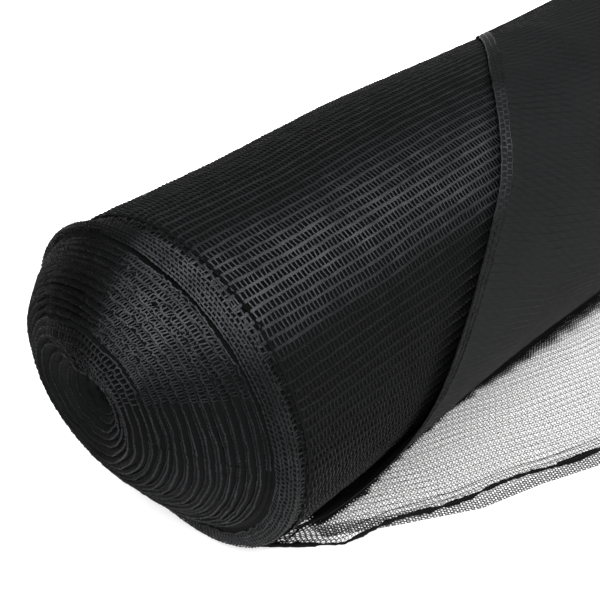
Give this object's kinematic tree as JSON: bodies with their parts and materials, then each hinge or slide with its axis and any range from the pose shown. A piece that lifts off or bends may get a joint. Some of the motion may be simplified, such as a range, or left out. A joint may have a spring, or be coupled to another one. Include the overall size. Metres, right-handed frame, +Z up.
{
  "type": "roll of debris netting",
  "caption": "Roll of black knitted debris netting lying on its side, its near end telescoped, its loose outer end drawn askew over the roll and laid out in front.",
  "frame": {"origin": "middle of the bottom of the whole part, on the surface it rests on", "axes": "+X along the roll from its telescoped near end to its plain far end, -Y to the side where the loose end is laid out, +Z up"},
  "size_m": [1.0582, 0.4152, 0.2225],
  "materials": {
    "wound_net": "knitted black plastic yarn, wound in many turns, satin",
    "loose_net": "knitted black plastic yarn, open mesh that is see-through over a light surface, satin",
    "under_net": "knitted black plastic yarn, open mesh, satin"
  },
  "bodies": {
    "root": {"wound_roll": "wound_net", "loose_sheet": "loose_net", "under_layer": "under_net"}
  },
  "joints": []
}
